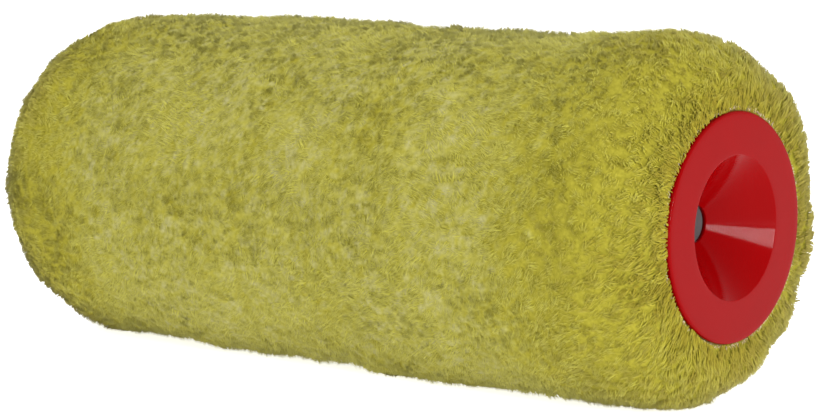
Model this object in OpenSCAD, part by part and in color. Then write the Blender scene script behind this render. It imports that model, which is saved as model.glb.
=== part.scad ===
/* [Sleeve] */
// Length over the two end caps' outer faces
sleeve_length = 200; // [120:1:280]
// Outer diameter of the stiff core tube
core_d = 48; // [40:0.5:60]
// Wall of the core tube
core_wall = 2; // [1:0.25:3]

/* [Cover] */
// Thickness of the knitted backing that is wound on the core
backing_t = 1.25; // [0.75:0.25:2]
// Height of the plush pile above its backing
pile_height = 16.25; // [8:0.25:25]
// How far the pile bulges past a cap's outer face
pile_overhang = 2; // [0:0.25:3]
// How far the pile is pressed in where the sleeve lies
rest_dent = 1.5; // [1:0.1:3]

/* [End caps] */
// Diameter of the cap's flange
flange_d = 50; // [46:0.5:58]
// Thickness of the flange
flange_t = 1.6; // [1.2:0.1:3]
// Radius that rounds the flange's outer edge
rim_round = 0.6; // [0.2:0.1:1]
// Diameter of the funnel at its mouth
mouth_d = 31.6; // [24:0.2:34]
// Depth of the funnel from the outer face to its throat
funnel_depth = 10.4; // [8:0.2:16]
// Wall of the moulded funnel, plug and webs
cap_wall = 1.5; // [1:0.1:2]
// How deep the plug reaches into the core tube
plug_depth = 20; // [17:1:30]
// Number of webs that brace the funnel inside the plug
web_count = 6; // [3:1:10]
// Number of crush ribs round the plug
rib_count = 12; // [6:1:24]

/* [Axle passage] */
// Diameter of the running bore for an 8 mm wire axle
bore_d = 8.2; // [6.2:0.1:9]
// Length of the cap's land between the throat and the guide tube
land_length = 1; // [0.8:0.1:2]
// Wall of the guide tube
guide_wall = 1.4; // [1:0.1:2]
// How far a cap's socket grips the guide tube
socket_length = 10; // [6:1:20]

/* [Hidden] */

$fn = 120;
eps = 0.01;
half_length = sleeve_length / 2;
core_r = core_d / 2;
core_bore_r = core_r - core_wall;
core_length = sleeve_length - 2 * flange_t;
backing_r = core_r + backing_t;
pile_r = backing_r + pile_height;
shoulder_x = half_length + pile_overhang - pile_height;
flange_r = flange_d / 2;
mouth_r = mouth_d / 2;
mouth_ease = 0.25;
bore_r = bore_d / 2;
guide_r = bore_r + guide_wall;
guide_end_z = -funnel_depth - land_length;
guide_length = sleeve_length + 2 * guide_end_z;
socket_r = guide_r + cap_wall;
socket_end_z = guide_end_z - socket_length;
rib_height = 0.15;
rib_width = 1;
plug_r = core_bore_r - rib_height;
web_end_z = -plug_depth + 2;

// Turns a shape that is drawn along +Z so that it lies along +X
module along_x() {
    rotate([0, 90, 0]) children();
}

// Plain tube, centred on the axis and on mid length
module tube(outer_r, inner_r, length) {
    along_x() difference() {
        cylinder(r = outer_r, h = length, center = true);
        cylinder(r = inner_r, h = length + 1, center = true);
    }
}

// Stiff plastic tube that carries the cover
module core_tube() {
    color([0.86, 0.85, 0.80]) tube(core_r, core_bore_r, core_length);
}

// Light grey tube that leads the wire axle from one cap to the other
module guide_tube() {
    color([0.75, 0.75, 0.75]) tube(guide_r, bore_r, guide_length);
}

// Knitted strip, wound on the core edge to edge and fused to it
module backing_fabric() {
    color([0.85, 0.80, 0.64]) tube(backing_r, core_r, core_length);
}

// Half outline of the pile: a band with a quarter round at each end
module pile_outline() {
    translate([backing_r, -shoulder_x]) square([pile_height, 2 * shoulder_x]);
    for (side = [0, 1]) mirror([0, side])
        translate([backing_r, shoulder_x]) intersection() {
            circle(r = pile_height);
            square(pile_height);
        }
}

// Plush pile, pressed flat along the line that it lies on
module pile() {
    flat_z = -pile_r + rest_dent;
    color([0.70, 0.67, 0.27]) difference() {
        along_x() rotate_extrude() pile_outline();
        translate([-sleeve_length, -pile_r, flat_z - pile_r])
            cube([2 * sleeve_length, 2 * pile_r, pile_r]);
    }
}

// Half outline of the flange, its outer face at zero and its rim rounded
module flange_outline() {
    translate([0, -flange_t]) square([flange_r - rim_round, flange_t]);
    translate([0, -flange_t]) square([flange_r, flange_t - rim_round]);
    translate([flange_r - rim_round, -rim_round]) circle(r = rim_round);
}

// Funnel and the socket behind it, solid all through
module funnel_blank() {
    back_r = mouth_r + cap_wall;
    translate([0, 0, guide_end_z])
        cylinder(r1 = socket_r, r2 = back_r, h = -guide_end_z - eps);
    translate([0, 0, socket_end_z])
        cylinder(r = socket_r, h = socket_length + eps);
}

// Webs from the socket to the plug
module webs() {
    for (turn = [0 : web_count - 1]) rotate([0, 0, turn * 360 / web_count])
        translate([bore_r + guide_wall, -cap_wall / 2, web_end_z])
            cube([plug_r - guide_r - cap_wall / 2, cap_wall, -web_end_z - flange_t / 2]);
}

// Plug wall with its crush ribs
module plug() {
    difference() {
        translate([0, 0, -plug_depth]) cylinder(r = plug_r, h = plug_depth - flange_t / 2);
        translate([0, 0, -plug_depth - 1]) cylinder(r = plug_r - cap_wall, h = plug_depth + 2);
    }
    for (turn = [0 : rib_count - 1]) rotate([0, 0, (turn + 0.5) * 360 / rib_count])
        translate([plug_r - cap_wall / 2, -rib_width / 2, -plug_depth + 1])
            cube([cap_wall / 2 + rib_height - 0.02, rib_width, plug_depth - flange_t]);
}

// Funnel, its eased mouth, the axle's land and the seat of the guide tube
module cap_passage() {
    slope = (mouth_r - bore_r) / funnel_depth;
    translate([0, 0, -funnel_depth])
        cylinder(r1 = bore_r, r2 = mouth_r + slope * eps, h = funnel_depth + eps);
    translate([0, 0, -mouth_ease])
        cylinder(r1 = mouth_r - mouth_ease, r2 = mouth_r + mouth_ease, h = 2 * mouth_ease);
    translate([0, 0, guide_end_z - eps]) cylinder(r = bore_r, h = land_length + 2 * eps);
    translate([0, 0, socket_end_z - 1]) cylinder(r = guide_r, h = socket_length + 1);
}

// Moulded end cap, its outer face at zero and its plug below
module end_cap() {
    color([0.70, 0.01, 0.05]) difference() {
        union() {
            rotate_extrude() flange_outline();
            funnel_blank();
            webs();
            plug();
        }
        cap_passage();
    }
}

// Cap at the +X end
module front_end_cap() {
    translate([half_length, 0, 0]) along_x() end_cap();
}

// Cap at the -X end
module rear_end_cap() {
    mirror([1, 0, 0]) front_end_cap();
}

core_tube();
guide_tube();
backing_fabric();
pile();
front_end_cap();
rear_end_cap();
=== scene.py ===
import math

import bpy
import numpy as np
from bpy.props import FloatProperty, FloatVectorProperty, IntProperty, PointerProperty
from bpy.types import Operator, Panel, PropertyGroup
from mathutils import Matrix, Vector
from mathutils.kdtree import KDTree


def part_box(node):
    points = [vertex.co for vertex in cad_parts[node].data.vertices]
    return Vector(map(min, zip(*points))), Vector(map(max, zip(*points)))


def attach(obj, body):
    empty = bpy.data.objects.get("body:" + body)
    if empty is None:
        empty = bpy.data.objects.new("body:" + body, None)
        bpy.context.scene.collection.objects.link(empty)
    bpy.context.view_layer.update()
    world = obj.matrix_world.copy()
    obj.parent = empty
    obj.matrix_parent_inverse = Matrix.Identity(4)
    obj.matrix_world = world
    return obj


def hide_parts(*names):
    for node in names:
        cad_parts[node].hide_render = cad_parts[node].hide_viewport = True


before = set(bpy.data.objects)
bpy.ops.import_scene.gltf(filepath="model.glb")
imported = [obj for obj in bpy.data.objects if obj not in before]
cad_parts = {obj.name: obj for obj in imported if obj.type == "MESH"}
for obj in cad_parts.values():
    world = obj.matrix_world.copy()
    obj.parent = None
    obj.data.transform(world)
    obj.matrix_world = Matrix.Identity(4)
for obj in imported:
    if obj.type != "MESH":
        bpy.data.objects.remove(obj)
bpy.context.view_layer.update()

bl_info = {
    "name": "Paint roller sleeve",
    "version": (1, 0, 0),
    "blender": (4, 5, 0),
    "location": "View3D > Sidebar > Roller sleeve",
    "description": "Builds a plush paint roller sleeve with its end caps",
    "category": "Object",
}

MM = 0.001
PILE_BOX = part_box("pile")
BACKING_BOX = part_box("backing_fabric")
CORE_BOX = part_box("core_tube")
GUIDE_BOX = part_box("guide_tube")
CAP_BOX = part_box("front_end_cap")
FLOOR_Z = PILE_BOX[0].z
PILE_R = PILE_BOX[1].z
BACKING_R = BACKING_BOX[1].z
CORE_R = CORE_BOX[1].z
GUIDE_R = GUIDE_BOX[1].z
FLANGE_R = CAP_BOX[1].z
FACE_X = CAP_BOX[1].x
BAKE_UV = "OFBake"
CAMERA_AIM = Vector((-0.004, 0.0161, -0.0057))


def cap_sizes():
    """Mouth radius, throat radius and funnel depth, read from the cap that the frame holds."""
    spots = [vertex.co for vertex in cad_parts["front_end_cap"].data.vertices]
    reach = [(spot.x, math.hypot(spot.y, spot.z)) for spot in spots]
    throat = min(radius for _, radius in reach)
    lip = [radius for x, radius in reach if x > FACE_X - 0.05 * MM]
    depth = FACE_X - max(x for x, radius in reach if radius < throat + 0.05 * MM)
    return min(lip), throat, depth


LIP_R, THROAT_R, FUNNEL_DEPTH = cap_sizes()      # LIP_R is where the eased lip meets the face
EASE = 0.25 * MM                                 # rounding of the funnel's lip
MOUTH_R = LIP_R - EASE
LAND = FACE_X - FUNNEL_DEPTH - GUIDE_BOX[1].x    # from the throat to the guide tube's end
CAP_WALL = 1.5 * MM
FUNNEL_WALL = 0.6 * MM                           # at the flange, where it is thinnest
FLANGE_THICK = 1.6 * MM
RIM_ROUND = 0.6 * MM                             # rounding of the flange's outer rim
PLUG_R = 21.85 * MM
PLUG_LENGTH = 20.0 * MM
SOCKET_LENGTH = 10 * MM                          # how far the guide tube goes into its socket
WEB_BACK = 18 * MM                               # how far back the webs reach
WEB_START = 0.4 * MM                             # from the mouth to the webs at the flange
RIB_BACK = 19 * MM                               # how far back the crush ribs reach
RIB_WIDTH = 1.0 * MM
RIB_HEIGHT = 0.13 * MM                           # how far a crush rib stands out of the plug
OVERLAP = 0.3 * MM                               # how far a web or rib runs into what it joins
RING_SAMPLES = 8                                 # points on each turned ring of the funnel


# ---------------------------------------------------------------- settings


class PileSettings(PropertyGroup):
    """Sizes and colours of the plush pile"""
    lock_spacing: FloatProperty(
        name="Lock spacing", description="Distance between neighbouring locks of fibre",
        default=2.0 * MM, unit="LENGTH")
    lock_length: FloatProperty(
        name="Lock length", description="Length of a lock that stands free of its neighbours",
        default=3.4 * MM, unit="LENGTH")
    strands_per_lock: IntProperty(
        name="Strands per lock", description="Number of strands that a lock is made of",
        default=15, min=3)
    bands: IntProperty(
        name="Bands", description="Number of pieces that the locks are made in, along the sleeve",
        default=14, min=1)
    strand_width: FloatProperty(
        name="Strand width", description="Width of a strand over most of its length",
        default=0.20 * MM, unit="LENGTH")
    comb: FloatProperty(
        name="Combing", description="How far a lock leans over, as a share of its length",
        default=0.42, subtype="FACTOR")
    lump: FloatProperty(
        name="Lumps", description="Height of the soft lumps along the sleeve",
        default=0.7 * MM, unit="LENGTH")
    bed_depth: FloatProperty(
        name="Bed depth", description="How far the dense bed lies below the tips",
        default=0.85 * MM, unit="LENGTH")
    # painted shade and painted sheen: the bed is darker than the strands for the shade among dense
    # fibre, and bluer for the strands' sheen
    bed_shade_and_sheen: FloatVectorProperty(
        name="Bed share", description="Colour of the bed's fibre as a share of the strands' colour",
        default=(0.65, 0.65, 1.10), subtype="COLOR", size=3)
    softness: FloatProperty(
        name="Softness", description="How far the strands are shaded as one soft surface",
        default=1.0, subtype="FACTOR")
    tuft_relief: FloatProperty(
        name="Tuft relief", description="How deep the bed falls between two locks",
        default=0.20 * MM, unit="LENGTH")
    tip_colour: FloatVectorProperty(
        name="Tip colour", description="Pale colour of the strands' tips",
        default=(0.410, 0.385, 0.085), subtype="COLOR", size=3)
    middle_colour: FloatVectorProperty(
        name="Middle colour", description="Colour half way along a strand",
        default=(0.371, 0.343, 0.034), subtype="COLOR", size=3)
    # painted shade: the strands' dark roots and the bed's gaps take this deep colour
    root_colour: FloatVectorProperty(
        name="Root colour", description="Deep colour between the locks",
        default=(0.345, 0.308, 0.016), subtype="COLOR", size=3)
    seed: IntProperty(name="Seed", description="Seed of the pile's random draws", default=11)


class BackingSettings(PropertyGroup):
    """Sizes and colours of the knitted backing"""
    fray_count: IntProperty(
        name="Frayed threads", description="Number of loose threads round each cut edge",
        default=1800, min=0)
    fray_length: FloatProperty(
        name="Fray length", description="Typical length of a loose thread",
        default=0.85 * MM, unit="LENGTH")
    colour: FloatVectorProperty(
        name="Colour", description="Undyed colour of the knit",
        default=(0.56, 0.44, 0.27), subtype="COLOR", size=3)
    seed: IntProperty(name="Seed", description="Seed of the backing's random draws", default=5)


class CapSettings(PropertyGroup):
    """Sizes and colour of the moulded end caps"""
    ring_count: IntProperty(
        name="Turned rings", description="Number of fine turned rings in the funnel",
        default=26, min=0)
    ring_depth: FloatProperty(
        name="Ring depth", description="Depth of a turned ring",
        default=0.009 * MM, unit="LENGTH", precision=6)
    web_count: IntProperty(
        name="Webs", description="Number of webs that brace the funnel inside the plug",
        default=6, min=1)
    rib_count: IntProperty(
        name="Crush ribs", description="Number of crush ribs round the plug", default=12, min=1)
    colour: FloatVectorProperty(
        name="Colour", description="Colour of the moulded plastic",
        default=(0.175, 0.0001, 0.0005), subtype="COLOR", size=3)


class StudioSettings(PropertyGroup):
    """Camera, lights and floor"""
    azimuth: FloatProperty(
        name="Azimuth", description="Angle of the camera from the front, towards the front cap",
        default=math.radians(40.35), subtype="ANGLE", unit="ROTATION")
    elevation: FloatProperty(
        name="Elevation", description="Angle of the camera above the horizon",
        default=math.radians(6.85), subtype="ANGLE", unit="ROTATION")
    distance: FloatProperty(
        name="Distance", description="Distance of the camera from the point that it aims at",
        default=0.6222, unit="LENGTH")
    lens: FloatProperty(
        name="Lens", description="Focal length of the camera in millimetres", default=111.0)
    sky: FloatProperty(
        name="Sky", description="Strength of the even white surroundings", default=1.0)
    overhead: FloatProperty(
        name="Overhead light", description="Power of the large soft light above", default=10.0)
    strip: FloatProperty(
        name="Strip light", description="Power of the soft box that shines into the funnel",
        default=4.8)
    floor_glow: FloatProperty(
        name="Floor glow", description="Strength of the light that the white table gives off",
        default=0.78)


# ---------------------------------------------------------------- helpers


def soft_noise(points, wavelength, seed, waves=28):
    """Smooth noise of about unit spread at each of the points."""
    rng = np.random.default_rng(seed)
    heading = rng.normal(size=(waves, 3))
    heading /= np.linalg.norm(heading, axis=1, keepdims=True)
    pace = 2 * math.pi / wavelength * rng.uniform(0.7, 1.4, waves)
    phase = rng.uniform(0, 2 * math.pi, waves)
    return np.cos(points @ (heading * pace[:, None]).T + phase).sum(1) * math.sqrt(2 / waves)


def unit(vectors):
    """Each vector at length one."""
    return vectors / np.maximum(np.linalg.norm(vectors, axis=-1, keepdims=True), 1e-12)


def mesh_from_arrays(name, points, faces_by_size, uv_by_size=None, smooth=True):
    """A mesh object from point rows and lists of equally long faces, with UVs if given."""
    counts = np.concatenate([np.full(len(f), f.shape[1]) for f in faces_by_size])
    corners = np.concatenate([f.ravel() for f in faces_by_size])
    starts = np.concatenate([[0], np.cumsum(counts)[:-1]])
    mesh = bpy.data.meshes.new(name)
    mesh.vertices.add(len(points))
    mesh.vertices.foreach_set("co", np.ascontiguousarray(points, dtype=np.float32).ravel())
    mesh.loops.add(len(corners))
    mesh.loops.foreach_set("vertex_index", corners.astype(np.int32))
    mesh.polygons.add(len(counts))
    mesh.polygons.foreach_set("loop_start", starts.astype(np.int32))
    mesh.polygons.foreach_set("use_smooth", np.full(len(counts), smooth))
    if uv_by_size is not None:
        layer = mesh.uv_layers.new(name=BAKE_UV)
        uv = np.concatenate([u.reshape(-1, 2) for u in uv_by_size])
        layer.data.foreach_set("uv", uv.astype(np.float32).ravel())
    mesh.update(calc_edges=True)
    mesh.validate()
    piece = bpy.data.objects.new(name, mesh)
    bpy.context.scene.collection.objects.link(piece)
    return piece


def ring_faces(rows, columns):
    """The four-sided faces of a grid of points that closes on itself both ways."""
    row = np.arange(rows)[:, None]
    column = np.arange(columns)[None, :]
    after, beside = (row + 1) % rows, (column + 1) % columns
    faces = np.stack([row * columns + column, row * columns + beside,
                      after * columns + beside, after * columns + column], axis=-1)
    return faces.reshape(-1, 4)


def lathe(name, outline, segments):
    """A closed piece turned round the X axis from rows of (x, radius)."""
    outline = np.asarray(outline, dtype=float)
    rows = len(outline)
    turn = np.arange(segments) * 2 * math.pi / segments
    points = np.empty((rows, segments, 3))
    points[:, :, 0] = outline[:, :1]
    points[:, :, 1] = outline[:, 1:] * np.cos(turn)
    points[:, :, 2] = outline[:, 1:] * np.sin(turn)
    return mesh_from_arrays(name, points.reshape(-1, 3), [ring_faces(rows, segments)])


def strands(name, paths, widths, shade, rng, outward=None, softness=0.0, columns=64):
    """Closed three-sided strands along paths of shape (count, knots, 3), the last knot a point.
    Softness turns their shading normals towards the outward one of the surface they grow on."""
    count, knots, _ = paths.shape
    rings = knots - 1
    along = unit(paths[:, -1] - paths[:, 0])
    side = unit(np.cross(along, rng.normal(size=(count, 3))))
    other = np.cross(along, side)
    spin = np.arange(3) * 2 * math.pi / 3
    spoke = side[:, None] * np.cos(spin)[:, None] + other[:, None] * np.sin(spin)[:, None]
    ring = paths[:, :rings, None] + spoke[:, None] * (widths[:, :rings, None, None] / 2)
    points = np.concatenate([ring.reshape(count, rings * 3, 3), paths[:, -1:]], axis=1)
    each = rings * 3 + 1
    first = (np.arange(count) * each)[:, None, None]
    quads, quad_uv = [], []
    column = np.floor(np.clip(shade, 0, 0.999) * columns)
    rise = np.linspace(0, 1, knots)
    for k in range(rings - 1):
        for j in range(3):
            n = (j + 1) % 3
            quads.append([k * 3 + j, k * 3 + n, k * 3 + 3 + n, k * 3 + 3 + j])
            quad_uv.append([(j / 3, rise[k]), ((j + 1) / 3, rise[k]),
                            ((j + 1) / 3, rise[k + 1]), (j / 3, rise[k + 1])])
    tris, tri_uv = [[0, 2, 1]], [[(0, 0), (0.66, 0), (0.33, 0)]]
    last = rings * 3 - 3
    for j in range(3):
        tris.append([last + j, last + (j + 1) % 3, rings * 3])
        tri_uv.append([(j / 3, rise[-2]), ((j + 1) / 3, rise[-2]), ((j + 0.5) / 3, 1)])

    def place(local):
        uv = np.broadcast_to(np.array(local, dtype=float), (count,) + np.shape(local)).copy()
        uv[..., 0] = (uv[..., 0] + column[:, None, None]) / columns
        return uv

    faces = [(first + np.array(quads)).reshape(-1, 4), (first + np.array(tris)).reshape(-1, 3)]
    piece = mesh_from_arrays(name, points.reshape(-1, 3), faces, [place(quad_uv), place(tri_uv)])
    if outward is not None:
        own = np.repeat(spoke[:, None], rings, axis=1).reshape(count, rings * 3, 3)
        own = np.concatenate([own, along[:, None]], axis=1)
        normal = unit(own * (1 - softness) + outward[:, None] * softness)
        layer = piece.data.attributes.new("custom_normal", "FLOAT_VECTOR", "POINT")
        layer.data.foreach_set("vector", normal.astype(np.float32).ravel())
    return piece


def finish_piece(piece, material, slot, *replaced):
    """Gives a piece its material and its body, and hides the parts that it replaces; the slot is not
    used.
    """
    piece.data.materials.clear()
    piece.data.materials.append(material)
    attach(piece, "root")
    if replaced:
        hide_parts(*replaced)


# ---------------------------------------------------------------- shape of the pile


SHOULDER_FRONT = (FACE_X + 2.2 * MM, 20.5 * MM)   # where the front bulge ends, and its length
SHOULDER_REAR = (FACE_X - 0.2 * MM, 20.5 * MM)    # the same at the rear
TUCK_RUN = 4.6 * MM                               # how wide the pile tucks in round a flange
SQUASH = 1.3 * MM                                 # bulge beside the line that it lies on
SQUASH_ANGLE, SQUASH_SPREAD = 25, 13              # degrees from straight below
SQUASH_REAR, SQUASH_REAR_RUN = -0.062, 0.035      # x where the bulge starts, and its growth
SQUASH_FRONT, SQUASH_FRONT_RUN = 0.080, 0.030     # the same at the front
RIM_GAP = 1.25 * MM                               # bare backing that shows round a flange
PILE_HEIGHT = PILE_R - BACKING_R
TUCK_PAST = 1.0 * MM                              # how far behind the face the pile tucks in
END_RUN = 24 * MM                                 # length over which the pile changes by a cap
TUCKED_SHADE_HEIGHT = 11 * MM                           # height over which painted shade darkens it round a flange
RIM_GUARD = 1.8 * MM                              # depth of the rim that fibre keeps clear of
RIM_CLEAR = 0.15 * MM                             # how far fibre keeps from that rim
FLARE_START, FLARE = 0.4 * MM, 1.2                # start of the flare behind the face, its slope
FLOOR_SPREAD = 0.8                                # sideways move of fibre for each move upwards
BED_LOWER_END = 1.1 * MM                          # how much shorter the bed is at each end
BED_FADE = 0.04                                   # share of the bed that rises to full relief
BED_GRAIN = 0.05 * MM                             # fine relief of the bed
HAIRLINE = 0.02 * MM                              # gap that keeps two surfaces apart

ROW_SHARE = 0.87                                  # distance of two rows in lock spacings
ROW_JITTER, TURN_JITTER = 0.32, 0.30              # how unevenly the locks stand in their rows
LEAN, LEAN_HEIGHT = 0.30, 7 * MM                  # lean over the ends, full from this height up
SWIRL = 1.2                                       # how far the combing turns, in radians
COMB_SHARED, COMB_STRAY = 0.7, 0.6                # combing that neighbours share, and each one's own
END_SHORTER, SHORTEST = 0.38, 0.8 * MM            # how much a cap shortens locks, least length
STAND = 0.22 * MM                                 # how unevenly high the tips stand
SHADE_SPREAD, SHADE_PATCH = 0.07, 0.03            # shade of each lock, and of its patch
PAINTED_SHADE_BY_CAP, PAINTED_SHADE_TUCKED = 0.22, 0.34           # painted shade near a cap, and where the pile tucks in at a flange
PAINTED_SHADE_GAP, GAP_WIDTH = 0.35, 0.8                  # painted shade in a gap between locks, its width in lock spacings
ROOT_SPREAD = 0.70                                # width of a lock in lock spacings
TIP_STRAY, BEND_STRAY = 0.06, 0.05                # strays of a strand as shares of its length
CUT_SPREAD, STRAND_SHADE = 0.09, 0.045            # how uneven the strands' ends and shades are
BEND_AT, STRAND_KNOTS = 0.62, (0.0, 0.58, 1.0)    # where a strand bends and where it has knots


def pile_place(share, lower=0.0, end_lower=0.0):
    """Point (x, radius) and outward normal at a share of the way from the front rim to the rear
    rim, on a surface that lies lower than the pile's own, and the length of the whole way."""
    height = PILE_HEIGHT - lower
    front_end, front_run = SHOULDER_FRONT[0] - end_lower, SHOULDER_FRONT[1] - end_lower
    rear_end, rear_run = SHOULDER_REAR[0] - end_lower, SHOULDER_REAR[1] - end_lower
    front_x, rear_x = front_end - front_run, -(rear_end - rear_run)
    arc_front = math.pi / 2 * (front_run + height) / 2
    arc_rear = math.pi / 2 * (rear_run + height) / 2
    total = arc_front + (front_x - rear_x) + arc_rear
    s = np.asarray(share) * total
    turn = np.clip((arc_front - s) / arc_front, 0, 1) * math.pi / 2
    back = np.clip((s - total + arc_rear) / arc_rear, 0, 1) * math.pi / 2
    x = np.where(s < arc_front, front_x + front_run * np.sin(turn),
                 np.where(s > total - arc_rear, rear_x - rear_run * np.sin(back),
                          front_x - (s - arc_front)))
    radius = BACKING_R + height * np.cos(np.maximum(turn, back))
    tuck = np.exp(-((radius - BACKING_R) / TUCK_RUN) ** 2)
    x = x - tuck * (turn > 0) * max(front_end - FACE_X + TUCK_PAST, 0)
    x = x + tuck * (back > 0) * max(rear_end - FACE_X + TUCK_PAST, 0)
    nx = np.where(turn > 0, np.sin(turn) * height, -np.sin(back) * height)
    nr = np.where(turn > 0, np.cos(turn) * front_run, np.cos(back) * rear_run)
    size = np.hypot(nx, nr)
    return x, radius, nx / size, nr / size, total


DENTS = (  # x, angle round the axis in degrees from +Y to +Z, radius, depth
    (0.030, 95, 0.034, 1.4 * MM),
    (0.056, 96, 0.038, 1.9 * MM),
    (-0.094, 100, 0.020, 1.6 * MM),
    (-0.070, 130, 0.028, 0.9 * MM),
)
DENT_FALL = 2.5   # how steeply a dent ends


def pile_lift(points, lump):
    """How far the pile stands above its mean surface at each point."""
    lift = lump * 0.6 * soft_noise(points, wavelength=0.055, seed=21)
    lift = lift + lump * 0.45 * soft_noise(points, wavelength=0.016, seed=22)
    for x, angle, radius, depth in DENTS:
        a = math.radians(angle)
        centre = np.array([x, PILE_R * math.cos(a), PILE_R * math.sin(a)])
        gap = np.linalg.norm(points - centre, axis=1) / radius
        lift = lift - depth * np.exp(-DENT_FALL * gap * gap)
    from_below = np.degrees(np.arctan2(np.abs(points[:, 1]), -points[:, 2]))
    x = points[:, 0]
    along = (np.clip((x - SQUASH_REAR) / SQUASH_REAR_RUN, 0, 1)
             * np.clip((SQUASH_FRONT - x) / SQUASH_FRONT_RUN, 0, 1))
    return lift + SQUASH * along * np.exp(-((from_below - SQUASH_ANGLE) / SQUASH_SPREAD) ** 2)


def near_cap(x, start):
    """How near x is to a cap: 0 up to a share of the way to its face, and 1 from END_RUN on."""
    return np.clip((np.abs(x) - start * FACE_X) / END_RUN, 0, 1)


def on_round(x, radius, turn):
    """Points at x, at a radius and an angle round the axis."""
    return np.stack([x, radius * np.cos(turn), radius * np.sin(turn)], axis=-1)


def clear_of_flange(points):
    """Moves points that are level with a flange's rim or past it out to just beyond the rim."""
    radius = np.hypot(points[..., 1], points[..., 2])
    reach = np.abs(points[..., 0])
    above = np.maximum(reach - FACE_X + FLARE_START, 0)
    least = np.where(reach > FACE_X - RIM_GUARD, FLANGE_R + RIM_CLEAR + FLARE * above, 0)
    grow = np.maximum(least / np.maximum(radius, 1e-6), 1)
    moved = points.copy()
    moved[..., 1] *= grow
    moved[..., 2] *= grow
    return moved


def press_on_floor(points, rng):
    """Keeps points above the surface that the sleeve lies on, spread outwards as they bend."""
    level = FLOOR_Z + rng.uniform(0.1, 0.5, len(points))[:, None] * MM
    deep = np.maximum(level - points[..., 2], 0)
    pressed = points.copy()
    pressed[..., 1] += np.sign(points[..., 1]) * deep * FLOOR_SPREAD
    pressed[..., 2] += deep
    return pressed


# ---------------------------------------------------------------- materials


def strand_material(name, root, middle, tip, sheen):
    """Soft dull fibre: dark at the root as painted shade deep in the pile, pale at the tip, each
    strand with a shade of its own.
    """
    material = bpy.data.materials.new(name)
    material.use_nodes = True
    tree = material.node_tree
    tree.nodes.clear()

    shade_frame = tree.nodes.new("NodeFrame")
    shade_frame.label = "Shade of each strand"
    tone_frame = tree.nodes.new("NodeFrame")
    tone_frame.label = "Root to tip"
    surface_frame = tree.nodes.new("NodeFrame")
    surface_frame.label = "Dull fibre"

    place = tree.nodes.new("ShaderNodeUVMap")
    place.label = "Strand and height"
    place.uv_map = BAKE_UV
    place.location = (-1100, 0)
    split = tree.nodes.new("ShaderNodeSeparateXYZ")
    split.label = "Strand across, height up"
    split.location = (-900, 0)

    shade = tree.nodes.new("ShaderNodeValToRGB")
    shade.label = "Dark to light strands"
    shade.location = (-640, 220)
    shade.parent = shade_frame
    # the dark end is reached by the painted shade near the caps and round the flanges
    shade.color_ramp.elements[0].color = (0.58, 0.50, 0.22, 1)
    shade.color_ramp.elements[1].color = (1.10, 1.08, 1.30, 1)
    middle_shade = shade.color_ramp.elements.new(0.5)
    middle_shade.color = (0.97, 0.97, 0.95, 1)

    # root to tip: darker towards the root, painted shade deep in the pile
    tone = tree.nodes.new("ShaderNodeValToRGB")
    tone.label = "Deep root to pale tip"
    tone.location = (-640, -80)
    tone.parent = tone_frame
    tone.color_ramp.elements[0].color = (*root, 1)
    tone.color_ramp.elements[1].color = (*tip, 1)
    middle_tone = tone.color_ramp.elements.new(0.55)
    middle_tone.color = (*middle, 1)

    tint = tree.nodes.new("ShaderNodeMix")
    tint.label = "Tone times shade"
    tint.data_type = "RGBA"
    tint.blend_type = "MULTIPLY"
    tint.location = (-320, 60)
    tint.parent = surface_frame
    tint.inputs["Factor"].default_value = 1.0

    surface = tree.nodes.new("ShaderNodeBsdfPrincipled")
    surface.label = "Fibre"
    surface.location = (-80, 60)
    surface.parent = surface_frame
    surface.inputs["Roughness"].default_value = 0.75
    surface.inputs["Specular IOR Level"].default_value = 0.2
    surface.inputs["Sheen Weight"].default_value = sheen
    surface.inputs["Sheen Roughness"].default_value = 0.5
    surface.inputs["Sheen Tint"].default_value = (1.0, 0.96, 0.75, 1)

    output = tree.nodes.new("ShaderNodeOutputMaterial")
    output.label = "Strand"
    output.location = (240, 60)

    tree.links.new(place.outputs["UV"], split.inputs["Vector"])
    tree.links.new(split.outputs["X"], shade.inputs["Fac"])
    tree.links.new(split.outputs["Y"], tone.inputs["Fac"])
    tree.links.new(tone.outputs["Color"], tint.inputs["A"])
    tree.links.new(shade.outputs["Color"], tint.inputs["B"])
    tree.links.new(tint.outputs["Result"], surface.inputs["Base Color"])
    tree.links.new(surface.outputs["BSDF"], output.inputs["Surface"])
    return material


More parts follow.
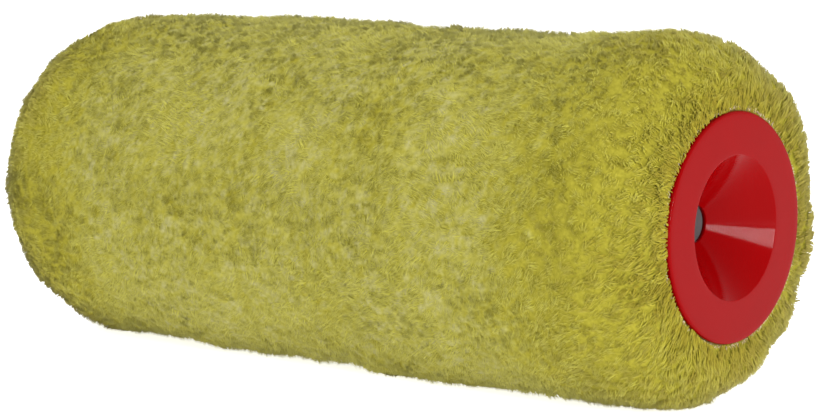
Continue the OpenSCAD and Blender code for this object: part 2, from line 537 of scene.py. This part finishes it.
def bed_material(name, deep, middle, pale):
    """The mass of fibre ends between the free tips, by tufts with painted shade in their gaps, and
    with fine fibre speckle.
    """
    material = bpy.data.materials.new(name)
    material.use_nodes = True
    tree = material.node_tree
    tree.nodes.clear()

    tuft_frame = tree.nodes.new("NodeFrame")
    tuft_frame.label = "Tone of each tuft"
    speckle_frame = tree.nodes.new("NodeFrame")
    speckle_frame.label = "Fibre ends"

    # tuft tone: each lock's tone with painted shade in the gaps and near the caps
    tuft = tree.nodes.new("ShaderNodeAttribute")
    tuft.label = "Tuft tone, low in the gaps"
    tuft.attribute_name = "tuft_tone_painted_shade"
    tuft.location = (-900, 160)
    tuft.parent = tuft_frame

    tone = tree.nodes.new("ShaderNodeValToRGB")
    tone.label = "Gap to tuft"
    tone.location = (-660, 160)
    tone.parent = tuft_frame
    tone.color_ramp.elements[0].color = (*deep, 1)
    tone.color_ramp.elements[0].position = 0.05
    tone.color_ramp.elements[1].color = (*pale, 1)
    tone.color_ramp.elements[1].position = 0.62
    middle_tone = tone.color_ramp.elements.new(0.26)
    middle_tone.color = (*middle, 1)

    place = tree.nodes.new("ShaderNodeTexCoord")
    place.label = "Place on the object"
    place.location = (-1140, -160)

    ends = tree.nodes.new("ShaderNodeTexNoise")
    ends.label = "Speckle of fibre ends"
    ends.location = (-900, -160)
    ends.parent = speckle_frame
    ends.inputs["Scale"].default_value = 1300.0
    ends.inputs["Detail"].default_value = 3.0

    speckle = tree.nodes.new("ShaderNodeValToRGB")
    speckle.label = "Slightly dark to slightly pale"
    speckle.location = (-660, -160)
    speckle.parent = speckle_frame
    speckle.color_ramp.elements[0].color = (0.80, 0.80, 0.68, 1)
    speckle.color_ramp.elements[0].position = 0.3
    speckle.color_ramp.elements[1].color = (1.12, 1.12, 1.25, 1)
    speckle.color_ramp.elements[1].position = 0.7

    tint = tree.nodes.new("ShaderNodeMix")
    tint.label = "Tone times speckle"
    tint.data_type = "RGBA"
    tint.blend_type = "MULTIPLY"
    tint.location = (-320, 60)
    tint.inputs["Factor"].default_value = 1.0

    surface = tree.nodes.new("ShaderNodeBsdfPrincipled")
    surface.label = "Dense fibre"
    surface.location = (-80, 60)
    surface.inputs["Roughness"].default_value = 0.85
    surface.inputs["Specular IOR Level"].default_value = 0.1

    output = tree.nodes.new("ShaderNodeOutputMaterial")
    output.label = "Bed"
    output.location = (240, 60)

    tree.links.new(tuft.outputs["Fac"], tone.inputs["Fac"])
    tree.links.new(place.outputs["Object"], ends.inputs["Vector"])
    tree.links.new(ends.outputs["Fac"], speckle.inputs["Fac"])
    tree.links.new(tone.outputs["Color"], tint.inputs["A"])
    tree.links.new(speckle.outputs["Color"], tint.inputs["B"])
    tree.links.new(tint.outputs["Result"], surface.inputs["Base Color"])
    tree.links.new(surface.outputs["BSDF"], output.inputs["Surface"])
    return material


def moulded_material(name, colour, roughness, specular):
    """Moulded plastic: nearly even colour, faint mottle and a fine moulding texture."""
    material = bpy.data.materials.new(name)
    material.use_nodes = True
    tree = material.node_tree
    tree.nodes.clear()

    colour_frame = tree.nodes.new("NodeFrame")
    colour_frame.label = "Even colour with faint mottle"
    skin_frame = tree.nodes.new("NodeFrame")
    skin_frame.label = "Moulded skin"

    place = tree.nodes.new("ShaderNodeTexCoord")
    place.label = "Place on the object"
    place.location = (-1000, 0)

    mottle = tree.nodes.new("ShaderNodeTexNoise")
    mottle.label = "Pigment mottle"
    mottle.location = (-760, 160)
    mottle.parent = colour_frame
    mottle.inputs["Scale"].default_value = 140.0
    mottle.inputs["Detail"].default_value = 3.0

    pigment = tree.nodes.new("ShaderNodeValToRGB")
    pigment.label = "Slightly darker to slightly lighter"
    pigment.location = (-520, 160)
    pigment.parent = colour_frame
    pigment.color_ramp.elements[0].color = (*[0.94 * c for c in colour], 1)
    pigment.color_ramp.elements[1].color = (*[1.05 * c for c in colour], 1)

    grain = tree.nodes.new("ShaderNodeTexNoise")
    grain.label = "Fine moulding grain"
    grain.location = (-760, -160)
    grain.parent = skin_frame
    grain.inputs["Scale"].default_value = 900.0
    grain.inputs["Detail"].default_value = 2.0

    relief = tree.nodes.new("ShaderNodeBump")
    relief.label = "Shallow relief of the skin"
    relief.location = (-420, -160)
    relief.parent = skin_frame
    relief.inputs["Strength"].default_value = 0.12
    relief.inputs["Distance"].default_value = 0.00003

    surface = tree.nodes.new("ShaderNodeBsdfPrincipled")
    surface.label = "Plastic"
    surface.location = (-160, 60)
    surface.inputs["Roughness"].default_value = roughness
    surface.inputs["Specular IOR Level"].default_value = specular

    output = tree.nodes.new("ShaderNodeOutputMaterial")
    output.label = "Moulded part"
    output.location = (160, 60)

    tree.links.new(place.outputs["Object"], mottle.inputs["Vector"])
    tree.links.new(mottle.outputs["Fac"], pigment.inputs["Fac"])
    tree.links.new(pigment.outputs["Color"], surface.inputs["Base Color"])
    tree.links.new(place.outputs["Object"], grain.inputs["Vector"])
    tree.links.new(grain.outputs["Fac"], relief.inputs["Height"])
    tree.links.new(relief.outputs["Normal"], surface.inputs["Normal"])
    tree.links.new(surface.outputs["BSDF"], output.inputs["Surface"])
    return material


def floor_material(name, glow):
    """Matt white light table."""
    material = bpy.data.materials.new(name)
    material.use_nodes = True
    surface = material.node_tree.nodes["Principled BSDF"]
    surface.label = "Matt white table, lit from below"
    surface.inputs["Emission Color"].default_value = (1, 1, 1, 1)
    surface.inputs["Emission Strength"].default_value = glow
    surface.inputs["Base Color"].default_value = (0.93, 0.93, 0.94, 1)
    surface.inputs["Roughness"].default_value = 0.9
    surface.inputs["Specular IOR Level"].default_value = 0.1
    return material


# ---------------------------------------------------------------- operators


class SLEEVE_OT_tubes(Operator):
    """Finish the core tube and the guide tube in plain extruded plastic"""
    bl_idname = "sleeve.tubes"
    bl_label = "Core and guide tube"

    def execute(self, context):
        core = moulded_material("core polypropylene", (0.70, 0.68, 0.60),
                                roughness=0.5, specular=0.4)
        # guide tube: dark reddish grey, painted shade and painted red reflection inside the bore
        guide = moulded_material("guide tube grey", (0.17, 0.15, 0.15),
                                 roughness=0.45, specular=0.2)
        for node, material in (("core_tube", core), ("guide_tube", guide)):
            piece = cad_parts[node]
            piece.data.materials.clear()
            piece.data.materials.append(material)
        return {"FINISHED"}


class SLEEVE_OT_backing(Operator):
    """Wind the knitted backing on the core, with its frayed cut edges"""
    bl_idname = "sleeve.backing"
    bl_label = "Backing fabric"

    def execute(self, context):
        sizes = context.scene.sleeve_backing
        rng = np.random.default_rng(sizes.seed)
        half = BACKING_BOX[1].x
        rows, around = 120, 240
        xs = np.linspace(half, -half, rows)
        outer = [(x, BACKING_R - HAIRLINE) for x in xs]
        inner = [(x, CORE_R) for x in xs[::-1]]
        strip = lathe("backing_fabric_strip", outer + inner, around)
        colour = tuple(sizes.colour)
        # darker roots of the loose threads: painted shade where they leave the knit
        dark = tuple(0.8 * c for c in colour)
        cloth = strand_material("undyed knit", dark, colour, colour, sheen=0.2)
        finish_piece(strip, cloth, "backing", "backing_fabric")
        for side, label in ((1, "front"), (-1, "rear")):
            piece = self.fray(side, f"backing_fray_{label}", sizes, rng)
            finish_piece(piece, cloth, "backing", "backing_fabric")
        return {"FINISHED"}

    def fray(self, side, name, sizes, rng):
        """Loose threads round one cut edge."""
        count = sizes.fray_count
        turn = rng.uniform(0, 2 * math.pi, count)
        radius = BACKING_R + rng.uniform(-0.05, 0.35, count) * MM
        x = BACKING_BOX[1].x + rng.uniform(0.1, 0.8, count) * MM
        root = on_round(x, radius, turn)
        radial = on_round(np.zeros(count), np.ones(count), turn)
        axial = np.array([1.0, 0.0, 0.0])
        around = np.cross(axial, radial)
        heading = unit(radial * rng.uniform(0.5, 1.0, count)[:, None]
                       + axial * rng.uniform(-0.2, 0.3, count)[:, None]
                       + around * rng.normal(0, 0.5, count)[:, None])
        length = sizes.fray_length * rng.uniform(0.5, 1.4, count)[:, None]
        tip = root + heading * length
        middle = (root + tip) / 2 + around * (rng.normal(0, 0.15, count)[:, None] * length)
        paths = np.stack([root, middle, tip], axis=1)
        paths[..., 0] *= side
        paths = clear_of_flange(paths)
        widths = np.outer(rng.uniform(0.10, 0.22, count) * MM, [1, 0.8, 0])
        shade = rng.uniform(0.2, 1, count)
        return strands(name, paths, widths, shade, rng)


def lock_sites(sizes):
    """Where the locks of fibre stand and how each one leans, as a dictionary of rows."""
    rng = np.random.default_rng(sizes.seed)
    total = float(pile_place(np.array([0.5]))[4])
    rows = int(total / (sizes.lock_spacing * ROW_SHARE))
    place, turn = [], []
    for row in range(rows):
        share = (row + 0.5) / rows
        radius = float(pile_place(np.array([share]))[1][0])
        number = int(2 * math.pi * radius / sizes.lock_spacing)
        place.append(share + rng.normal(0, ROW_JITTER, number) / rows)
        jitter = rng.normal(0, TURN_JITTER, number)
        turn.append((np.arange(number) + 0.5 * (row % 2) + jitter) * 2 * math.pi / number)
    place = np.clip(np.concatenate(place), 0, 1)
    turn = np.concatenate(turn)
    bare = pile_place(place)[1] < BACKING_R + RIM_GAP
    place, turn = place[~bare], turn[~bare]
    count = len(turn)
    x, radius, nx, nr, _ = pile_place(place)
    normal = on_round(nx, nr, turn)
    point = on_round(x, radius, turn)
    point = point + normal * pile_lift(point, sizes.lump)[:, None]
    lean = LEAN * np.arctan2(nx, nr) * np.clip((radius - BACKING_R) / LEAN_HEIGHT, 0, 1)
    around = np.stack([np.zeros(count), -np.sin(turn), np.cos(turn)], axis=-1)
    axial = np.cross(around, normal)
    swirl = soft_noise(point, wavelength=0.045, seed=41) * SWIRL
    comb = (np.cos(swirl)[:, None] * around + np.sin(swirl)[:, None] * axial) * COMB_SHARED
    comb = comb + around * rng.normal(0, COMB_STRAY, count)[:, None]
    comb = comb + axial * rng.normal(0, COMB_STRAY, count)[:, None]
    free = (np.hypot(point[:, 1], point[:, 2]) - BACKING_R) / np.cos(lean)
    # near a cap the locks are shorter and carry painted shade
    near_end = near_cap(x, start=0.62)
    # painted shade where the pile tucks in round a flange
    tucked_shade = np.clip(1 - (radius - BACKING_R) / TUCKED_SHADE_HEIGHT, 0, 1)
    reach = sizes.lock_length * rng.uniform(0.75, 1.25, count) * (1 - END_SHORTER * near_end)
    reach = np.minimum(reach, np.maximum(free, SHORTEST))
    stand = rng.normal(0, STAND, count)
    heading = on_round(np.sin(lean), np.cos(lean), turn)
    patch = soft_noise(point, wavelength=0.03, seed=51)
    return {
        "place": place, "normal": normal, "around": around, "axial": axial,
        "heading": heading, "reach": reach,
        "tip": point + normal * stand[:, None] + comb * (reach * sizes.comb)[:, None],
        "root": point - heading * reach[:, None],
        "converge": rng.uniform(0.1, 0.7, count),
        # each lock's random tone and patch, less painted shade near a cap and round a flange
        "shade": 0.5 + SHADE_SPREAD * rng.normal(size=count) + SHADE_PATCH * patch
                 - PAINTED_SHADE_BY_CAP * near_end - PAINTED_SHADE_TUCKED * tucked_shade,
    }


class SLEEVE_OT_pile_bed(Operator):
    """Shape the dense bed of the pile, below the tips of its locks"""
    bl_idname = "sleeve.pile_bed"
    bl_label = "Pile bed"

    def execute(self, context):
        sizes = context.scene.sleeve_pile
        rng = np.random.default_rng(sizes.seed + 1)
        locks = lock_sites(sizes)
        rows, around = 262, 330
        share = np.linspace(0, 1, rows)
        turn = np.arange(around) * 2 * math.pi / around
        x, radius, nx, nr, _ = pile_place(share, sizes.bed_depth, BED_LOWER_END)
        grid_x, grid_turn = np.meshgrid(x, turn, indexing="ij")
        wide = np.ones((1, around))
        points = on_round(grid_x, radius[:, None] * wide, grid_turn).reshape(-1, 3)
        normal = on_round(nx[:, None] * wide, nr[:, None] * wide, grid_turn).reshape(-1, 3)
        gap, shade = self.tufts(points, locks, sizes)
        lift = pile_lift(points, sizes.lump) - sizes.tuft_relief * gap
        lift += BED_GRAIN * soft_noise(points, wavelength=0.0014, seed=31)
        fade = np.sin(np.clip(share / BED_FADE, 0, 1) * math.pi / 2)
        points = points + normal * (lift * np.repeat(fade * fade[::-1], around))[:, None]
        points = press_on_floor(points[:, None], rng)[:, 0]
        inner_x = np.linspace(x[-1], x[0], 40)[1:-1]
        inner_r = np.full((len(inner_x), 1), BACKING_R + HAIRLINE) * wide
        inner = on_round(inner_x[:, None] * wide, inner_r, np.broadcast_to(turn, inner_r.shape))
        count = rows + len(inner_x)
        row = np.arange(count)[:, None]
        col = np.arange(around)[None, :]
        low_v, high_v = row / count, (row + 1) / count
        low_u, high_u = col / around, (col + 1) / around
        uv = np.stack([np.stack(np.broadcast_arrays(u, v), axis=-1) for u, v in (
            (low_u, low_v), (high_u, low_v), (high_u, high_v), (low_u, high_v))], axis=-2)
        everything = np.concatenate([points, inner.reshape(-1, 3)])
        bed = mesh_from_arrays("pile_bed", everything, [ring_faces(count, around)], [uv])
        # painted shade: the bed's tone is darker in the gaps between locks and near a cap
        near_end = near_cap(points[:, 0], start=0.55)
        tone = np.clip(shade - PAINTED_SHADE_GAP * gap - PAINTED_SHADE_BY_CAP * near_end, 0, 1)
        tone = np.concatenate([tone, np.zeros(inner_r.size)])
        attribute = bed.data.attributes.new("tuft_tone_painted_shade", "FLOAT", "POINT")
        attribute.data.foreach_set("value", tone.astype(np.float32))
        # the bed's colours: the strands' colours with painted shade and painted sheen
        deep, middle, pale = (
            tuple(shade_and_sheen * part for shade_and_sheen, part in zip(sizes.bed_shade_and_sheen, colour))
            for colour in (sizes.root_colour, sizes.middle_colour, sizes.tip_colour))
        under = bed_material("plush bed", deep, middle, pale)
        finish_piece(bed, under, "pile", "pile")
        return {"FINISHED"}

    def tufts(self, points, locks, sizes):
        """How near each point is to the gap between two locks, and its lock's shade."""
        middle = locks["tip"] - locks["normal"] * sizes.bed_depth
        tree = KDTree(len(middle))
        for index, place in enumerate(middle):
            tree.insert(place, index)
        tree.balance()
        gap = np.empty(len(points))
        nearest = np.empty(len(points), dtype=int)
        for index, point in enumerate(points):
            (_, first, near), (_, _, next_near) = tree.find_n(point, 2)
            gap[index] = next_near - near
            nearest[index] = first
        gap = 1 - np.clip(gap / (GAP_WIDTH * sizes.lock_spacing), 0, 1)
        return gap * gap, locks["shade"][nearest]


class SLEEVE_OT_pile_locks(Operator):
    """Grow the locks of plush fibre all over the pile"""
    bl_idname = "sleeve.pile_locks"
    bl_label = "Pile locks"

    def execute(self, context):
        sizes = context.scene.sleeve_pile
        rng = np.random.default_rng(sizes.seed + 2)
        locks = lock_sites(sizes)
        material = strand_material("plush fibre", tuple(sizes.root_colour),
                                   tuple(sizes.middle_colour), tuple(sizes.tip_colour),
                                   sheen=0.08)
        order = np.argsort(locks["place"], kind="stable")
        for band, chosen in enumerate(np.array_split(order, sizes.bands)):
            pick = np.repeat(chosen, sizes.strands_per_lock)
            piece = self.grow(f"pile_band_{band + 1}", pick, locks, sizes, rng)
            finish_piece(piece, material, "pile", "pile")
        return {"FINISHED"}

    def grow(self, name, pick, locks, sizes, rng):
        """The strands of the picked locks."""
        count = len(pick)
        angle = rng.uniform(0, 2 * math.pi, count)
        spread = np.sqrt(rng.uniform(0, 1, count)) * sizes.lock_spacing * ROOT_SPREAD
        offset = (locks["around"][pick] * (np.cos(angle) * spread)[:, None]
                  + locks["axial"][pick] * (np.sin(angle) * spread)[:, None])
        size = locks["reach"][pick][:, None]
        low = locks["root"][pick] + offset
        high = locks["tip"][pick] + offset * (1 - locks["converge"][pick])[:, None]
        high = high + rng.normal(0, TIP_STRAY, (count, 3)) * size
        high = high - (high - low) * np.abs(rng.normal(0, CUT_SPREAD, count))[:, None]
        bend = low + locks["heading"][pick] * size * BEND_AT
        bend = bend + rng.normal(0, BEND_STRAY, (count, 3)) * size
        knots = [(1 - t) ** 2 * low + 2 * t * (1 - t) * bend + t * t * high
                 for t in STRAND_KNOTS]
        paths = press_on_floor(clear_of_flange(np.stack(knots, axis=1)), rng)
        width = sizes.strand_width * rng.uniform(0.7, 1.3, count)
        shade = locks["shade"][pick] + rng.normal(0, STRAND_SHADE, count)
        return strands(name, paths, np.outer(width, [0.9, 1.0, 0]), shade, rng,
                       locks["normal"][pick], sizes.softness)


class SLEEVE_OT_end_caps(Operator):
    """Mould the two end caps with their turned funnels"""
    bl_idname = "sleeve.end_caps"
    bl_label = "End caps"

    def execute(self, context):
        sizes = context.scene.sleeve_caps
        red = moulded_material("moulded red", tuple(sizes.colour), roughness=0.09, specular=0.038)
        for side, label in ((1, "front"), (-1, "rear")):
            cap = lathe(f"{label}_cap_moulding", self.outline(sizes), 256)
            if side < 0:
                for vertex in cap.data.vertices:
                    vertex.co.x = -vertex.co.x
                cap.data.flip_normals()
            finish_piece(cap, red, "cap_plastic", f"{label}_end_cap")
            bracing = self.bracing(f"{label}_cap_webs_and_ribs", side, sizes)
            finish_piece(bracing, red, "cap_plastic", f"{label}_end_cap")
        return {"FINISHED"}

    def bracing(self, name, side, sizes):
        """The webs behind the funnel and the crush ribs on the plug, as one piece."""
        throat = -FUNNEL_DEPTH - LAND
        front = -FLANGE_THICK + OVERLAP
        outer, inner = PLUG_R - CAP_WALL + OVERLAP, GUIDE_R + CAP_WALL - OVERLAP
        web = [(-WEB_BACK, outer), (-WEB_BACK, inner), (throat, inner),
               (front, MOUTH_R + WEB_START), (front, outer)]
        low, high = PLUG_R - OVERLAP, PLUG_R + RIB_HEIGHT
        middle = -10 * MM   # on a straight edge, so that a rib has as many corners as a web
        rib = [(-RIB_BACK, high), (-RIB_BACK, low), (middle, low),
               (-FLANGE_THICK, low), (-FLANGE_THICK, high)]
        blocks = [(i * 360 / sizes.web_count, web, CAP_WALL) for i in range(sizes.web_count)]
        blocks += [((i + 0.5) * 360 / sizes.rib_count, rib, RIB_WIDTH)
                   for i in range(sizes.rib_count)]
        corners = len(web)
        corner = np.arange(corners)
        beside = (corner + 1) % corners
        edges = np.stack([corner, beside, beside + corners, corner + corners], axis=-1)
        ends = np.array([corner[::-1], corner + corners])
        points = []
        for turn, profile, width in blocks:
            a = math.radians(turn)
            x, r = np.array(profile + profile).T
            across = np.repeat([-width / 2, width / 2], corners)
            points.append(np.stack([side * (FACE_X + x), r * math.cos(a) - across * math.sin(a),
                                    r * math.sin(a) + across * math.cos(a)], axis=-1))
        first = 2 * corners * np.arange(len(blocks))[:, None, None]
        faces = [(first + edges).reshape(-1, 4), (first + ends).reshape(-1, corners)]
        if side < 0:
            faces = [rows[:, ::-1] for rows in faces]
        return mesh_from_arrays(name, np.concatenate(points), faces, smooth=False)

    def outline(self, sizes):
        """The cap's section, from its outer rim inwards and back along its plug."""
        points = [(-FLANGE_THICK, FLANGE_R)]
        for step in range(7):
            a = math.pi / 2 * step / 6
            points.append((-RIM_ROUND + RIM_ROUND * math.sin(a),
                           FLANGE_R - RIM_ROUND + RIM_ROUND * math.cos(a)))
        points += [(0.0, r) for r in np.linspace(FLANGE_R - RIM_ROUND, LIP_R, 8)[1:]]
        slant = math.atan2(MOUTH_R - THROAT_R, FUNNEL_DEPTH)
        for step in range(1, 5):
            a = (math.pi / 2 - slant) * step / 4
            points.append((-EASE * (1 - math.cos(a)), LIP_R - EASE * math.sin(a)))
        top_x, top_r = points[-1]
        samples = sizes.ring_count * RING_SAMPLES
        for step in range(1, samples + 1):
            t = step / samples
            ripple = sizes.ring_depth / 2 * math.cos(2 * math.pi * sizes.ring_count * t)
            x = top_x + (-FUNNEL_DEPTH - top_x) * t + ripple * math.sin(slant)
            r = top_r + (THROAT_R - top_r) * t - ripple * math.cos(slant)
            points.append((x, r))
        end = -FUNNEL_DEPTH - LAND
        socket = end - SOCKET_LENGTH
        points += [(end, THROAT_R), (end, GUIDE_R), (socket, GUIDE_R),
                   (socket, GUIDE_R + CAP_WALL), (end, GUIDE_R + CAP_WALL),
                   (-FLANGE_THICK, MOUTH_R + FUNNEL_WALL), (-FLANGE_THICK, PLUG_R - CAP_WALL),
                   (-PLUG_LENGTH, PLUG_R - CAP_WALL), (-PLUG_LENGTH, PLUG_R),
                   (-FLANGE_THICK, PLUG_R)]
        return [(FACE_X + x, r) for x, r in points]


class SLEEVE_OT_studio(Operator):
    """Set up the floor, the lights and the camera"""
    bl_idname = "sleeve.studio"
    bl_label = "Studio"

    def execute(self, context):
        sizes = context.scene.sleeve_studio
        scene = context.scene
        scene.view_settings.view_transform = "Standard"
        scene.view_settings.look = "None"

        bpy.ops.mesh.primitive_plane_add(size=14.0, location=(0, 0, FLOOR_Z))
        floor = context.object
        floor.name = "studio_floor"
        floor.data.materials.append(floor_material("studio table", sizes.floor_glow))

        world = bpy.data.worlds.new("studio surroundings")
        scene.world = world
        world.use_nodes = True
        sky = world.node_tree.nodes["Background"]
        sky.label = "Even white surroundings"
        sky.inputs["Color"].default_value = (1, 1, 1, 1)
        sky.inputs["Strength"].default_value = sizes.sky

        self.soft_box("overhead soft box", place=(-0.15, -0.35, 1.1), aim=(0, 0, 0),
                      upright=(0, 1, 0), size=(1.0, 0.8), power=sizes.overhead)
        mouth = Vector((FACE_X, 0, 0))
        self.soft_box("funnel strip box", place=mouth + Vector((0.674, -0.300, 0.134)), aim=mouth,
                      upright=(-0.025, 0.114, 0.298), size=(0.058, 0.25), power=sizes.strip)

        azimuth, elevation = sizes.azimuth, sizes.elevation
        towards = Vector((math.sin(azimuth) * math.cos(elevation),
                          -math.cos(azimuth) * math.cos(elevation), math.sin(elevation)))
        lens = bpy.data.cameras.new("studio camera")
        lens.lens = sizes.lens
        lens.sensor_width = 36.0
        camera = bpy.data.objects.new("studio camera", lens)
        scene.collection.objects.link(camera)
        camera.location = CAMERA_AIM + towards * sizes.distance
        camera.rotation_mode = "QUATERNION"
        camera.rotation_quaternion = (-towards).to_track_quat("-Z", "Y")
        scene.camera = camera
        return {"FINISHED"}

    def soft_box(self, name, place, aim, upright, size, power):
        """A rectangular soft light at a place, aimed at a point, its height along upright."""
        light = bpy.data.lights.new(name, "AREA")
        light.shape = "RECTANGLE"
        light.size, light.size_y = size
        light.energy = power
        lamp = bpy.data.objects.new(name, light)
        bpy.context.scene.collection.objects.link(lamp)
        lamp.location = place
        away = (Vector(place) - Vector(aim)).normalized()
        side = Vector(upright).cross(away).normalized()
        lamp.rotation_mode = "QUATERNION"
        axes = Matrix((side, away.cross(side), away)).transposed()
        lamp.rotation_quaternion = axes.to_quaternion()


class SLEEVE_PT_panel(Panel):
    """Lists the sleeve's pieces"""
    bl_idname = "SLEEVE_PT_panel"
    bl_label = "Roller sleeve"
    bl_space_type = "VIEW_3D"
    bl_region_type = "UI"
    bl_category = "Roller sleeve"

    def draw(self, context):
        for operator in OPERATORS:
            self.layout.operator(operator.bl_idname)


SETTINGS = (
    ("sleeve_pile", PileSettings),
    ("sleeve_backing", BackingSettings),
    ("sleeve_caps", CapSettings),
    ("sleeve_studio", StudioSettings),
)
OPERATORS = (
    SLEEVE_OT_tubes,
    SLEEVE_OT_backing,
    SLEEVE_OT_pile_bed,
    SLEEVE_OT_pile_locks,
    SLEEVE_OT_end_caps,
    SLEEVE_OT_studio,
)


def register():
    for name, group in SETTINGS:
        bpy.utils.register_class(group)
        setattr(bpy.types.Scene, name, PointerProperty(type=group))
    for operator in OPERATORS:
        bpy.utils.register_class(operator)
    bpy.utils.register_class(SLEEVE_PT_panel)


def unregister():
    bpy.utils.unregister_class(SLEEVE_PT_panel)
    for operator in reversed(OPERATORS):
        bpy.utils.unregister_class(operator)
    for name, group in reversed(SETTINGS):
        delattr(bpy.types.Scene, name)
        bpy.utils.unregister_class(group)


def main():
    register()
    bpy.ops.sleeve.tubes()
    bpy.ops.sleeve.backing()
    bpy.ops.sleeve.pile_bed()
    bpy.ops.sleeve.pile_locks()
    bpy.ops.sleeve.end_caps()
    bpy.ops.sleeve.studio()


if __name__ == "__main__":
    main()
